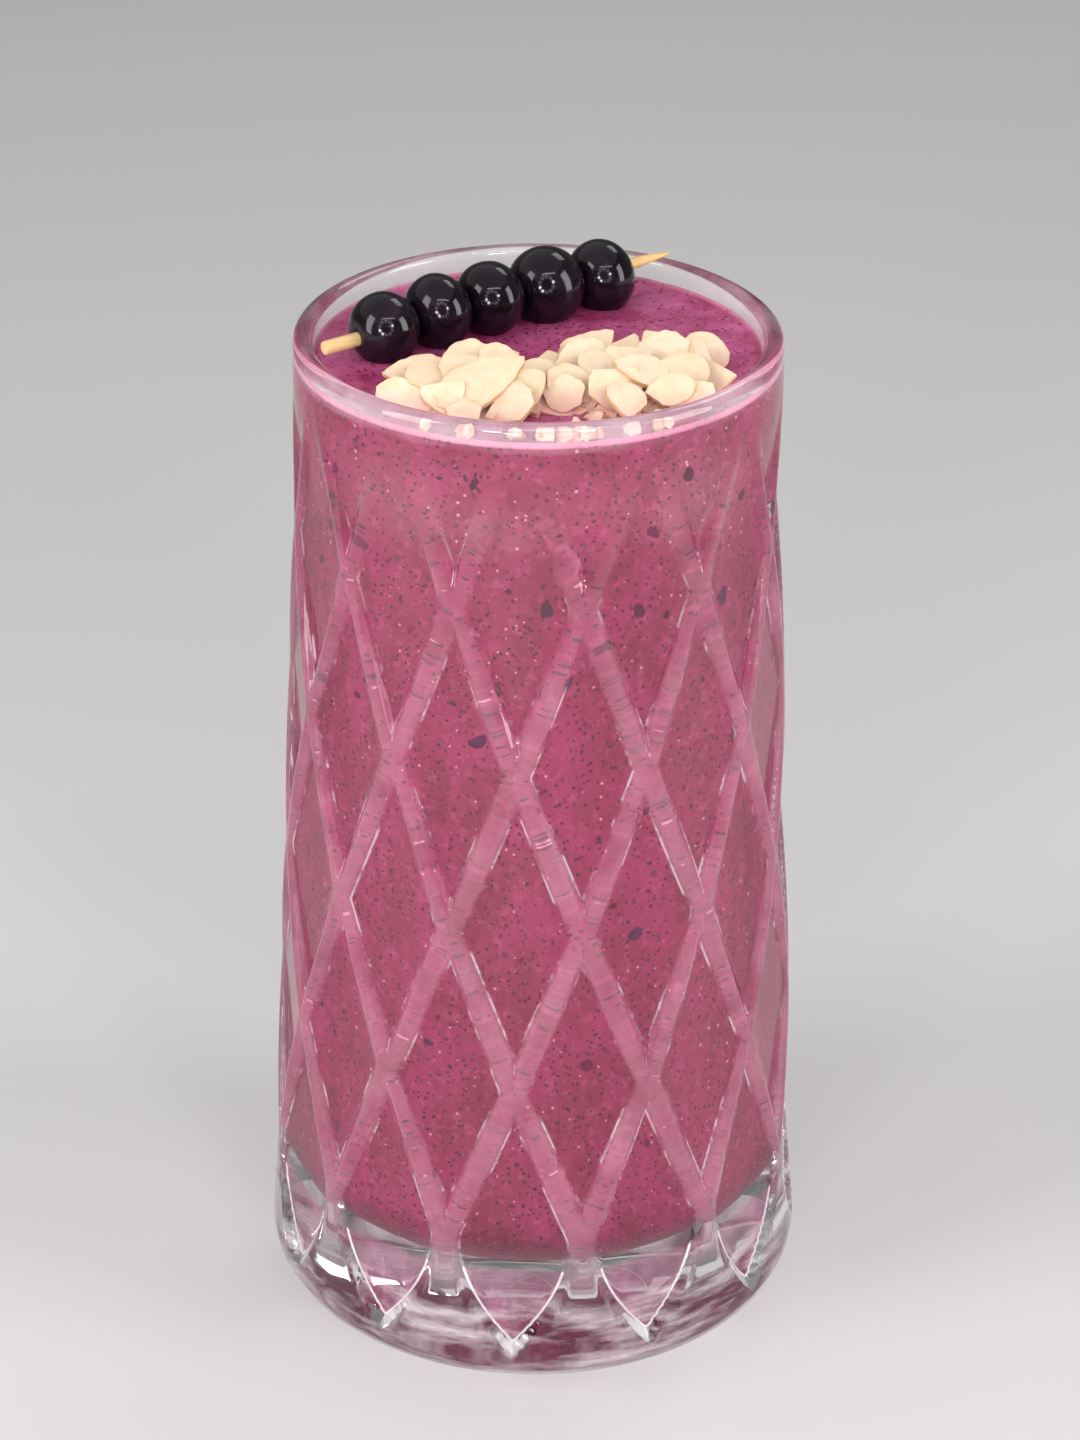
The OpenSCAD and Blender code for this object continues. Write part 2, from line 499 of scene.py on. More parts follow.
def cut_radius(angle, z, g, n):
    """Outside radius of the cut glass: flat diamonds between rounded ribs."""
    crown = 0.25 * MM
    fade_from, fade_over = 138 * MM, 25 * MM
    lip_band, lip_fade = 4 * MM, 8 * MM
    plain = outer_radius(z, g, n)
    half_step = math.pi / g.columns
    across = (angle - g.turn) / half_step
    rise = z - g.first_row
    up = np.maximum(rise, 0) / g.half_pitch
    up = up - (np.minimum(rise, 0) / shield_height(g)) ** 2
    p = across + up
    q = across - up
    p_mid = 2 * np.round(p / 2)
    q_mid = 2 * np.round(q / 2)
    row = (p_mid - q_mid) / 2
    aside = across - (p_mid + q_mid) / 2
    share = 1 - np.maximum(np.abs(p - p_mid), np.abs(q - q_mid))
    a = plain * half_step
    to_rib = share * a * g.half_pitch / np.hypot(a, g.half_pitch)
    flat = (plain - g.depth) / np.cos(aside * half_step)
    t = np.clip((to_rib - crown) / (half_rib(g) - crown), 0, 1)
    shape = t * t * (2.1 - 1.1 * t)
    fade = 1 - smooth_step((z - fade_from) / fade_over)
    deep = np.where(row < -0.5, 0, (plain - flat) * shape * (0.08 + 0.92 * fade))
    deep = deep * smooth_step((n["lip_z"] - lip_band - z) / lip_fade)
    return plain - np.maximum(deep, 0)


class SMOOTHIE_OT_glass(bpy.types.Operator):
    """Turn the tall glass and cut its diamonds"""

    bl_idname = "smoothie.glass"
    bl_label = "Glass"

    def execute(self, context):
        g, n = glass_numbers()
        foot, heel = n["foot_r"], g.heel_r
        inner = foot - heel - g.ring_w
        profile = [(AXIS_GAP, g.recess), (inner - g.recess, g.recess), (inner, 0)]
        profile += arc((foot - heel, heel), heel, -90, 0, 8)
        wall_at = len(profile) - 1
        profile += [(n["neck_r"], n["neck_z"])]
        profile += arc((n["rim_r"] - n["lip_r"], n["lip_z"]), n["lip_r"], 0, 180, 10)
        profile += [(n["bore_r"], n["level"]), (n["bore_r"], n["neck_z"])]
        corner = (n["bore_low_r"] - g.corner_r, n["corner_z"])
        profile += arc(corner, g.corner_r, 0, -90, 7)
        profile += [(AXIS_GAP, n["base_z"])]
        piece = turned("glass_body", profile, 600, [(wall_at, 111), (wall_at + 1, 12)])
        points = get_points(piece)
        x, y, z = points.T
        r = np.hypot(x, y)
        # only the outer wall is cut, from just below the top of the heel to the lip
        near = np.abs(r - outer_radius(z, g, n)) < 0.2 * MM
        outside = near & (z > g.heel_r - MM) & (z < n["lip_z"])
        angle = np.arctan2(x, -y)
        new_r = np.where(outside, cut_radius(angle, z, g, n), r)
        points[:, :2] *= (new_r / np.maximum(r, 1e-9))[:, None]
        set_points(piece, points)
        dress(piece, glass_look(g, n), "clear_glass", "glass")
        return {"FINISHED"}


def rib_distance(tree, place, g):
    """Distance from the nearest rib's middle, the height, and the row's number."""
    x = add_node(tree, "ShaderNodeSeparateXYZ", None, [place])
    z = x.other("Z")
    half_step = math.pi / g.columns
    across = (x.math("ARCTAN2", x.other("Y") * -1) - g.turn) * (1 / half_step)
    rise = z - g.first_row
    up = rise.math("MAXIMUM", 0) * (1 / g.half_pitch)
    below = rise.math("MINIMUM", 0) * (1 / shield_height(g))
    up = up - below * below
    p = across + up
    q = across - up
    p_mid = (p * 0.5).math("ROUND")
    q_mid = (q * 0.5).math("ROUND")
    p_off = (p - p_mid * 2).math("ABSOLUTE")
    q_off = (q - q_mid * 2).math("ABSOLUTE")
    middle_r = 41 * MM
    a = middle_r * half_step
    scale = a * g.half_pitch / math.hypot(a, g.half_pitch)
    return (1 - p_off.math("MAXIMUM", q_off)) * scale, z, p_mid - q_mid


def glass_look(g, n):
    """Clear glass with a painted pale sheen on its ribs and the drink's pink painted into
    its lowest cuts as painted refraction.

    Bright pale painted highlights mark the outlines of the lowest cuts, glints on the ribs,
    and streaks in the base and at the lip. Shadow rays pass straight through.
    """
    look, tree, place = new_look("clear_glass")
    clear = principled(
        tree,
        {
            "Base Color": (*g.tint, 1),
            "Roughness": 0.0,
            "IOR": 1.5,
            "Transmission Weight": 1.0,
        },
    )
    to_rib, z, row = rib_distance(tree, place, g)
    rib_end = half_rib(g)
    outline = 0.3 * MM
    uneven = cloudy(tree, place, 120, 4, 0.65)
    rib = 1 - step(to_rib, 0.72 * rib_end, rib_end)
    height = step(z, 17 * MM, 22 * MM) * (1 - step(z, 122 * MM, 158 * MM))
    # painted sheen: a pale pink film laid on the ribs for the side light they catch
    painted_rib_sheen = rib * height * (uneven * 0.46 - 0.06)
    pale = principled(tree, {"Base Color": (0.84, 0.42, 0.55, 1), "Roughness": 0.25})
    surface = add_node(tree, "ShaderNodeMixShader", None, [painted_rib_sheen, clear, pale])
    # painted refraction: the drink's pink, in streaks, painted into the lowest cuts of the base
    low = (1 - step(z, 22.6 * MM, 23 * MM)) * step(row, -0.6, -0.4)
    inside = step(to_rib, rib_end, rib_end + outline)
    streaks = cloudy(tree, moved(tree, place, scale=(1, 1, 0.3)), 300, 4, 0.6)
    painted_refraction = low * inside * (streaks * 0.6 + 0.2)
    rose = mix(tree, step(streaks, 0.35, 0.7), (0.21, 0.033, 0.09), (0.45, 0.18, 0.30))
    rosy = principled(tree, {"Base Color": rose, "Roughness": 0.2})
    surface = add_node(tree, "ShaderNodeMixShader", None, [painted_refraction, surface, rosy])
    # painted highlights: a bright pale shader over the cut outlines, rib glints, base and lip
    highlight_look = principled(tree, {"Base Color": (0.92, 0.84, 0.88, 1), "Roughness": 0.1})
    edge = (1 - (to_rib - rib_end).math("ABSOLUTE") * (1 / outline)).clamp()
    glint = edge * step(uneven, 0.5, 0.6) * height * 0.42
    arcs = cloudy(tree, moved(tree, place, (0.1, 0, 0), (0, 0, 0), (1, 1, 5)), 60, 4, 0.6)
    # painted highlight streaks low in the base and on the clear band above the drink
    haze = step(arcs, 0.46, 0.7) * (1 - step(z, 15 * MM, 18 * MM)) * 0.5
    lip = step(z, n["level"] - 0.5 * MM, n["level"] + MM) * step(arcs, 0.35, 0.65) * 0.2
    painted_highlight_share = (edge * low * 0.75 + glint).math("MAXIMUM", haze + lip)
    surface = add_node(tree, "ShaderNodeMixShader", None, [painted_highlight_share, surface, highlight_look])
    through = add_node(tree, "ShaderNodeBsdfTransparent", None, [(0.93, 0.94, 0.94, 1)])
    path = add_node(tree, "ShaderNodeLightPath", out="Is Shadow Ray")
    finish_look(
        tree, add_node(tree, "ShaderNodeMixShader", None, [path, surface, through])
    )
    return look


# The drink


def berry_rows():
    """(middle of each berry, half its width along the stick, its radius)."""
    t = sizes("topping")
    start, ahead, up = stick_line()
    widths = (10, 9.4, 9.8, 11.2, 9.6)
    across = (11.8, 12.2, 12, 12.8, 12.2)
    lifts = (0.5, 0.9, 0.7, 0.3, -0.8)
    done = t.berry_start
    for width, wide, lift in zip(widths, across, lifts):
        middle = start + ahead * (done + width / 2 * MM) + up * lift * MM
        yield middle, width / 2 * MM, wide / 2 * MM
        done += width * MM


def stick_line():
    """Blunt end of the stick, its direction, and the direction up across it."""
    g, n = glass_numbers()
    t = sizes("topping")
    r = n["bore_r"] - t.stick_gap
    start = Vector((r * math.cos(t.stick_from), r * math.sin(t.stick_from), 0))
    start.z = n["level"] + t.stick_up
    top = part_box("skewer")[1].z - t.stick_d / 2
    flat = Vector((math.cos(t.stick_turn), math.sin(t.stick_turn), 0))
    rise = math.asin((top - start.z) / (t.stick_len - t.point_len))
    ahead = flat * math.cos(rise) + Vector((0, 0, math.sin(rise)))
    up = Vector((0, 0, math.cos(rise))) - flat * math.sin(rise)
    return start, ahead, up


def heap_height(x, y):
    """Height of the swell under the almonds, from 0 to 1, at (x, y) in metres."""
    left = math.exp(-(((x + 8 * MM) / (15 * MM)) ** 2) - ((y + 19 * MM) / (11 * MM)) ** 2)
    right = math.exp(-(((x - 15 * MM) / (14 * MM)) ** 2) - ((y + 14 * MM) / (12 * MM)) ** 2)
    return max(left, right)


class SMOOTHIE_OT_drink(bpy.types.Operator):
    """Fill the glass with smoothie, just into the wall"""

    bl_idname = "smoothie.drink"
    bl_label = "Smoothie"

    def execute(self, context):
        g, n = glass_numbers()
        d = sizes("drink")
        into = d.reach
        edge, level = n["bore_r"], n["level"]
        profile = [(AXIS_GAP, n["base_z"] - into)]
        corner = (n["bore_low_r"] - g.corner_r, n["corner_z"])
        profile += arc(corner, g.corner_r + into, -90, 0, 8)
        profile += [
            (edge + into, n["neck_z"]),
            (edge + into, level + d.climb),
            (edge - 0.02 * MM, level + d.climb),
            (edge - 0.25 * MM, level + 0.5 * d.climb),
            (edge - 0.7 * MM, level + 0.18 * d.climb),
            (edge - 1.5 * MM, level + 0.03 * d.climb),
            (edge - 2.5 * MM, level),
            (AXIS_GAP, level),
        ]
        top = len(profile) - 2
        piece = turned("smoothie_fill", profile, 240, [(top, 62), (9, 24), (8, 3)])
        points = get_points(piece)
        berries = list(berry_rows())
        for point in points:
            x, y, z = point
            r = math.hypot(x, y)
            if z < level - 0.2 * MM or r > edge - 0.1 * MM:
                continue
            # waves in millimetres, that die out toward the glass
            inner = min(1, (edge - r) / (4 * MM))
            here = Vector((x, y, 0))
            h = 0.35 * noise.noise(here * 160) + 0.16 * noise.noise(here * 480)
            h += 0.05 * noise.noise(here * 1500)
            h += d.swell / MM * heap_height(x, y) * (1 + 0.3 * noise.noise(here * 260))
            for middle, _, wide in berries:
                sunk = max(level - middle.z, -wide * 0.98)
                ring = math.sqrt(max(wide * wide - sunk * sunk, 0))
                away = math.hypot(x - middle.x, y - middle.y) - ring
                if 0 < away < 4 * MM:
                    h += 0.55 * math.exp(-away / (0.7 * MM))
            point[2] += h * inner * MM
        set_points(piece, points)
        dress(piece, drink_look(d, n), "smoothie", "smoothie")
        scatter_skin(d, g, n)
        return {"FINISHED"}


def drink_look(d, n):
    """Blended pink, mottled, with fine dark specks and pale bubbles."""
    look, tree, place = new_look("smoothie")
    wisps = moved(tree, place, scale=(1, 1, 0.55))
    mottle = cloudy(tree, wisps, 150, 6, 0.7)
    grain = cloudy(tree, place, 620, 3, 0.6)
    body = mix(tree, step(mottle, 0.34, 0.68), d.deep, d.light)
    pulp = step(grain, 0.54, 0.7) * 0.4
    body = mix(tree, pulp, body, (0.41, 0.07, 0.17))
    fine = dots(tree, place, 950, 1, 0.33, 0.06)
    more = dots(tree, moved(tree, place, (0.3, 0.1, 0.2)), 560, 0.5, 0.24, 0.06)
    crooked = add_node(
        tree,
        "ShaderNodeVectorMath",
        {"operation": "MULTIPLY_ADD"},
        [cloudy(tree, place, 900, 2, 0.5).other("Color"), (0.9 * MM,) * 3, place],
    )
    blots = dots(tree, crooked, 260, 0.3, 0.22, 0.1)
    specks = fine.math("MAXIMUM", more)
    bubbles = dots(tree, moved(tree, place, (0.7, 0.4, 0.1)), 700, 0.3, 0.2)
    body = mix(tree, bubbles * 0.45, body, (0.82, 0.40, 0.52))
    body = mix(tree, blots * 0.85, body, (0.10, 0.008, 0.04))
    body = mix(tree, specks, body, d.skin)
    x = add_node(tree, "ShaderNodeSeparateXYZ", None, [place])
    height = x.other("Z")
    radius = (x * x + x.other("Y") * x.other("Y")).math("SQRT")
    open_top = step(height, n["level"] - 0.25 * MM, n["level"] - 0.05 * MM)
    at_wall = step(radius, n["bore_r"] - 0.5 * MM, n["bore_r"] - 0.1 * MM)
    line = at_wall * step(height, n["level"] - 0.2 * MM, n["level"] + 0.2 * MM)
    swirl = cloudy(tree, moved(tree, place, (0.2, 0, 0)), 150, 4, 0.6)
    froth = mix(tree, step(swirl, 0.35, 0.7), d.froth, d.light)
    foam = dots(tree, moved(tree, place, (0.5, 0, 0)), 800, 0.7, 0.3, 0.1)
    froth = mix(tree, foam * 0.3, froth, (0.66, 0.26, 0.42))
    froth = mix(tree, specks * 0.8, froth, d.skin)
    shade = mix(tree, open_top, body, froth)
    shade = mix(tree, line * 0.45, shade, (0.72, 0.36, 0.46))
    ripple = cloudy(tree, place, 900, 2, 0.5) + foam * 0.6
    finish_look(
        tree,
        principled(
            tree,
            {
                "Base Color": shade,
                "Roughness": 0.32 + grain * 0.2,
                "IOR": 1.4,
                "Normal": bumps(tree, ripple, 0.35, 0.25 * MM),
            },
        ),
    )
    return look


def skin_bit(rng, size):
    """Points and faces of one thin ragged bit, flat on the XY plane."""
    count = rng.randint(6, 9)
    long = rng.uniform(1.0, 1.9)
    top = []
    for i in range(count):
        a = 2 * math.pi * i / count
        r = size / 2 * rng.uniform(0.6, 1.05)
        top.append((r * long * math.cos(a), r * math.sin(a), 0.03 * MM))
    low = [(x * 1.1, y * 1.1, -0.06 * MM) for x, y, z in top]
    faces = [tuple(range(count))]
    for i in range(count):
        j = (i + 1) % count
        faces.append((i, count + i, count + j, j))
    faces.append(tuple(reversed(range(count, 2 * count))))
    return top + low, faces


def scatter_skin(d, g, n):
    """Bits of berry skin against the inside of the glass, all in one mesh."""
    rng = random.Random(11)
    points, faces, tones = [], [], []
    slope = (n["bore_r"] - n["bore_low_r"]) / (n["neck_z"] - n["corner_z"])
    for i in range(d.bits):
        z = rng.uniform(n["corner_z"] - 4 * MM, n["level"] - 1.5 * MM)
        big = rng.random() < 0.12 + 0.22 * (z > 0.1)
        size = rng.uniform(1.1, 2.4) * MM if big else rng.uniform(0.4, 0.9) * MM
        r = n["bore_r"] if z > n["neck_z"] else n["bore_r"] + slope * (z - n["neck_z"])
        if z < n["corner_z"]:
            r = n["bore_low_r"] - g.corner_r
            r += math.sqrt(g.corner_r**2 - (n["corner_z"] - z) ** 2)
        a = rng.uniform(0, 2 * math.pi)
        bit, sides = skin_bit(rng, size)
        spin = Matrix.Rotation(rng.uniform(0, math.pi), 4, "Z")
        wide = r + d.reach + 0.01 * MM
        first = len(points)
        for p in bit:
            v = spin @ Vector(p)
            # bent round the drink, so that a wide bit lies on it all over
            along = v.x
            round_a = a + v.y / wide
            out = wide + v.z
            points.append((out * math.cos(round_a), out * math.sin(round_a), z + along))
        faces += [tuple(first + k for k in side) for side in sides]
        tones += [rng.random()] * len(bit)
    mesh = bpy.data.meshes.new("skin_bits")
    mesh.from_pydata(points, [], faces)
    piece = bpy.data.objects.new("skin_bits", mesh)
    bpy.context.scene.collection.objects.link(piece)
    set_values(piece, "tone", tones)
    deselect()
    piece.select_set(True)
    bpy.context.view_layer.objects.active = piece
    edit_mode(True)
    bpy.ops.mesh.select_all(action="SELECT")
    bpy.ops.mesh.normals_make_consistent(inside=False)
    edit_mode(False)
    dress(piece, skin_bits_look(d), "smoothie")


def skin_bits_look(d):
    """Dark red to violet skin, pinker where the drink covers it."""
    look, tree, place = new_look("skin_bits")
    shade = add_node(
        tree,
        "ShaderNodeValToRGB",
        {
            "stops": [
                (0.0, (0.12, 0.006, 0.03)),
                (0.45, (0.05, 0.004, 0.022)),
                (0.8, (0.07, 0.006, 0.045)),
                (1.0, (0.26, 0.012, 0.05)),
            ]
        },
        [attribute(tree, "tone")],
    )
    shade = mix(tree, step(cloudy(tree, place, 1400, 2), 0.5, 0.8) * 0.5, shade, d.deep)
    finish_look(
        tree,
        principled(
            tree, {"Base Color": shade, "Roughness": 0.6, "Specular IOR Level": 0.2}
        ),
    )
    return look


# Berries and stick


class SMOOTHIE_OT_berries(bpy.types.Operator):
    """Thread the dark berries on the stick"""

    bl_idname = "smoothie.berries"
    bl_label = "Berries"

    def execute(self, context):
        t = sizes("topping")
        start, ahead, up = stick_line()
        side = up.cross(ahead)
        look = berry_look(t)
        for i, (middle, half, wide) in enumerate(berry_rows()):
            deselect()
            bpy.ops.mesh.primitive_uv_sphere_add(segments=72, ring_count=48, radius=1)
            piece = bpy.context.object
            name_piece(piece, f"berry_{i + 1}_skin")
            bpy.ops.object.shade_smooth()
            points = get_points(piece)
            for point in points:
                v = Vector(point)
                out = v.xy.length
                z = v.z
                # flatter where its neighbours press on it, with a dimple at the stick
                flat = 1.09 / (1 + 0.09 * z**12)
                dimple = 0.05 * math.exp(-((out / 0.2) ** 2)) * (1 if z > 0 else -1)
                ruffle = 0.988 + 0.012 * noise.noise(v * 1.7 + Vector((i * 7, 0, 0)))
                spread = wide * ruffle
                along = half * (z * flat - dimple)
                local = up * (v.x * spread) + side * (v.y * spread) + ahead * along
                point[:] = middle + local
            set_points(piece, points)
            edit_mode(True)
            bpy.ops.mesh.select_all(action="SELECT")
            bpy.ops.mesh.normals_make_consistent(inside=False)
            edit_mode(False)
            dress(piece, look, "berry_skin", f"berry_{i + 1}")
        return {"FINISHED"}


def berry_look(t):
    """Almost black skin under a thin wet gloss, hazy in places."""
    look, tree, place = new_look("berry_skin")
    haze = step(cloudy(tree, place, 260, 4, 0.6), 0.45, 0.75)
    shade = mix(tree, haze * 0.5, t.berry, (0.030, 0.012, 0.03))
    pores = dots(tree, place, 1300, 0.35, 0.2, 0.08)
    finish_look(
        tree,
        principled(
            tree,
            {
                "Base Color": shade,
                "Roughness": 0.09 + haze * 0.06,
                "IOR": 1.36,
                "Coat Weight": 0.1,
                "Coat Roughness": 0.05,
                "Normal": bumps(tree, haze * 0.5 - pores * 0.5, 0.18, 0.08 * MM),
            },
        ),
    )
    return look


class SMOOTHIE_OT_stick(bpy.types.Operator):
    """Cut the wooden stick to its point"""

    bl_idname = "smoothie.stick"
    bl_label = "Stick"

    def execute(self, context):
        t = sizes("topping")
        start, ahead, up = stick_line()
        r = t.stick_d / 2
        deselect()
        bpy.ops.mesh.primitive_circle_add(vertices=28, radius=r * 0.82)
        piece = bpy.context.object
        name_piece(piece, "stick_wood")
        edit_mode(True)
        bpy.ops.mesh.select_all(action="SELECT")
        body = t.stick_len - t.point_len
        rings = [(0.82, 0), (0.95, 0.12 * MM), (1, 0.4 * MM)]
        rings += [(1, body * k / 16) for k in range(1, 17)]
        rings += [
            (1 - 0.9 * (k / 10) ** 1.9, body + t.point_len * k / 10) for k in range(1, 11)
        ]
        for (f0, z0), (f1, z1) in zip(rings, rings[1:]):
            bpy.ops.mesh.extrude_region_move(
                TRANSFORM_OT_translate={"value": (0, 0, z1 - z0)}
            )
            bpy.ops.transform.resize(
                value=(f1 / f0, f1 / f0, 1), center_override=(0, 0, 0)
            )
        bpy.ops.mesh.merge(type="CENTER")
        bpy.ops.mesh.select_all(action="DESELECT")
        bpy.ops.mesh.select_non_manifold()
        bpy.ops.mesh.edge_face_add()
        bpy.ops.mesh.select_all(action="SELECT")
        bpy.ops.mesh.normals_make_consistent(inside=False)
        edit_mode(False)
        points = get_points(piece)
        side = up.cross(ahead)
        for point in points:
            v = Vector(point)
            fibre = 1 + 0.03 * noise.noise(Vector((v.x * 2500, v.y * 2500, v.z * 60)))
            point[:] = start + up * (v.x * fibre) + side * (v.y * fibre) + ahead * v.z
        set_points(piece, points)
        bpy.ops.object.shade_smooth_by_angle(angle=math.radians(50))
        dress(piece, stick_look(t), "pale_wood", "skewer")
        return {"FINISHED"}


def stick_look(t):
    """Pale bamboo with fine dark fibres along it, yellower toward the point."""
    look, tree, place = new_look("pale_wood")
    along = moved(tree, place, turn=(0, 0, -t.stick_turn))
    fibres = cloudy(tree, moved(tree, along, scale=(60, 2600, 2600)), 1, 4, 0.6)
    shade = mix(tree, step(fibres, 0.3, 0.75), (0.62, 0.38, 0.16), t.wood)
    far = add_node(tree, "ShaderNodeSeparateXYZ", None, [along], out="X")
    shade = mix(tree, step(far, 22 * MM, 34 * MM) * 0.55, shade, (0.86, 0.50, 0.13))
    finish_look(
        tree,
        principled(
            tree,
            {
                "Base Color": shade,
                "Roughness": 0.55,
                "Normal": bumps(tree, fibres, 0.5, 0.08 * MM),
            },
        ),
    )
    return look


# Almond slices


def slice_mesh(rng, long, wide, thick, bend, broken):
    """One almond slice, flat on the XY plane: pointed at +X, or snapped across."""
    deselect()
    bpy.ops.mesh.primitive_grid_add(x_subdivisions=14, y_subdivisions=9, size=2)
    piece = bpy.context.object
    points = get_points(piece)
    seed = Vector((rng.uniform(0, 50), rng.uniform(0, 50), 0))
    rim = []
    for point in points:
        u, v = point[0], point[1]
        x = u * math.sqrt(max(1 - v * v / 2, 0))
        y = v * math.sqrt(max(1 - u * u / 2, 0))
        edge = min(1, math.hypot(x, y))
        taper = 1 - 0.30 * x - 0.12 * x * x
        ragged = 1 + edge**3 * 0.10 * noise.noise(Vector((x, y, 0)) * 2.6 + seed)
        ragged += edge**6 * 0.035 * noise.noise(Vector((x, y, 0)) * 9 + seed)
        point[0] = x * ragged * long / 2
        point[1] = y * taper * ragged * wide / 2
        wave = noise.noise(Vector((x, y, 3)) * 1.3 + seed)
        point[2] = bend * (x * x - 0.3) + 0.2 * MM * wave
        rim.append(edge**6)
    set_points(piece, points)
    set_values(piece, "rim", rim)
    if broken:
        edit_mode(True)
        for cut in range(broken):
            bpy.ops.mesh.select_all(action="SELECT")
            a = rng.uniform(-0.9, 0.9) + 2 * math.pi * cut / broken
            off = rng.uniform(0.24, 0.4)
            bpy.ops.mesh.bisect(
                plane_co=(math.cos(a) * long * off, math.sin(a) * wide * off, 0),
                plane_no=(math.cos(a), math.sin(a), 0),
                clear_outer=True,
            )
        edit_mode(False)
    solid = piece.modifiers.new("thickness", "SOLIDIFY")
    solid.thickness = thick
    solid.offset = 0
    soft = piece.modifiers.new("edges", "BEVEL")
    soft.width = 0.1 * MM
    soft.segments = 1
    soft.limit_method = "ANGLE"
    soft.angle_limit = math.radians(50)
    apply_modifiers(piece)
    bpy.ops.object.shade_smooth_by_angle(angle=math.radians(28))
    side = piece.data.attributes.new("side", "FLOAT", "FACE")
    side.data.foreach_set(
        "value", [float(abs(face.normal.z) < 0.6) for face in piece.data.polygons]
    )
    return piece


# The two heaps of the drift: middle (x, y), half width, half depth, in millimetres,
# and how many slices lie on top
HEAPS = [(-9, -18.5, 14, 10, 15), (15, -13.5, 14, 13, 18)]
GOLDEN_TURN = math.pi * (3 - math.sqrt(5))
# From the axis to the middle of the farthest lower slice, in millimetres
FARTHEST = 28.5


def berry_line(x):
    """The line in plan that the almonds stay in front of, in millimetres."""
    return 0.62 * (x + 20) - 14


def top_slices(rng):
    """The slices on top, spread evenly over each heap and higher toward its middle.

    Each is its middle (x, y), height above the drink, length and width, all in
    millimetres, its turn in plan, tilt of the front edge down, roll, and breaks.
    """
    for x_mid, y_mid, half_x, half_y, count in HEAPS:
        for k in range(count):
            s = math.sqrt((k + 0.5) / count)
            a = GOLDEN_TURN * (k + 1)
            x = x_mid + half_x * s * math.cos(a)
            y = min(y_mid + half_y * s * math.sin(a), berry_line(x) - 1.5)
            long = 16.5 if k == 1 and x_mid < 0 else rng.uniform(7.5, 11.5)
            wide = min(long * rng.uniform(0.6, 0.9), 8.5)
            turn = 35 if long > 12 else rng.uniform(0, 360)
            breaks = 0 if long > 12 else rng.choice((0, 1, 1, 2, 2))
            up = 1.8 + 3.2 * (1 - s) + rng.uniform(0, 0.8)
            yield x, y, up, long, wide, turn, rng.uniform(14, 38), rng.uniform(-14, 14), breaks


def lower_slices(rng, tries):
    """The slices under the top ones, scattered over the heaps by turns."""
    for i in range(tries):
        right = i % 2
        x_mid, y_mid, half_x, half_y, _ = HEAPS[right]
        # on the right the lower layer lies half a millimetre farther back
        y_mid += 0.5 * right
        a = rng.uniform(0, 2 * math.pi)
        s = math.sqrt(rng.random())
        x = x_mid + half_x * s * math.cos(a)
        y = y_mid + half_y * s * math.sin(a)
        if math.hypot(x, y) > FARTHEST or y > berry_line(x):
            continue
        up = 0.5 + 2.2 * (1 - s) * rng.random()
        long = rng.uniform(5.5, 10.5)
        wide = rng.uniform(4, 7)
        turn = rng.uniform(0, 360)
        tilt = rng.uniform(-10, 26)
        roll = rng.uniform(-18, 18)
        yield x, y, up, long, wide, turn, tilt, roll, rng.choice((0, 1, 2, 2))


def crumb_places(rng, count):
    """Crumbs by turns in front of the heaps and against the glass."""
    for i in range(count):
        by_wall = i % 2
        a = math.radians(rng.uniform(238, 305) if by_wall else rng.uniform(208, 345))
        r = rng.uniform(30, 34) if by_wall else rng.uniform(19, 29)
        long = rng.uniform(2, 4.2)
        up = rng.uniform(0.3, 1.6)
        wide = long * rng.uniform(0.6, 0.9)
        turn = rng.uniform(0, 360)
        tilt = rng.uniform(-20, 45)
        yield r * math.cos(a), r * math.sin(a), up, long, wide, turn, tilt, rng.uniform(-30, 30), 2


class SMOOTHIE_OT_almonds(bpy.types.Operator):
    """Pile the almond slices on the drink"""

    bl_idname = "smoothie.almonds"
    bl_label = "Almond slices"

    def execute(self, context):
        _, n = glass_numbers()
        t = sizes("topping")
        rng = random.Random(5)
        places = list(top_slices(random.Random(8)))
        places += lower_slices(rng, t.loose)
        places += crumb_places(rng, t.crumbs)
        size = 0.96 * MM
        limit = n["bore_r"] - 0.4 * MM
        pieces = []
        for x, y, up, long, wide, turn, tilt, roll, broken in places:
            thick = rng.uniform(0.55, 0.85) * MM
            bend = rng.uniform(-0.4, 0.5) * MM
            piece = slice_mesh(rng, long * size, wide * size, thick, bend, broken)
            spin = Matrix.Rotation(math.radians(turn), 4, "Z")
            lean = Euler((math.radians(tilt), math.radians(roll), 0)).to_matrix().to_4x4()
            shift = Matrix.Translation((x * MM, y * MM, n["level"] + up * MM))
            piece.data.transform(shift @ lean @ spin)
            points = get_points(piece)
            r = np.hypot(points[:, 0], points[:, 1])
            over = np.maximum(r - limit, 0).max()
            if over > 0:
                inward = Vector((x, y, 0)).normalized() * -over
                points += np.array(inward)
                set_points(piece, points)
            set_values(piece, "tone", [rng.random()] * len(points))
            pieces.append(piece)
        deselect()
        for piece in pieces:
            piece.select_set(True)
        bpy.context.view_layer.objects.active = pieces[0]
        bpy.ops.object.join()
        name_piece(pieces[0], "almond_slices")
        dress(pieces[0], almond_look(t, n), "almond", "almond_flakes")
        return {"FINISHED"}


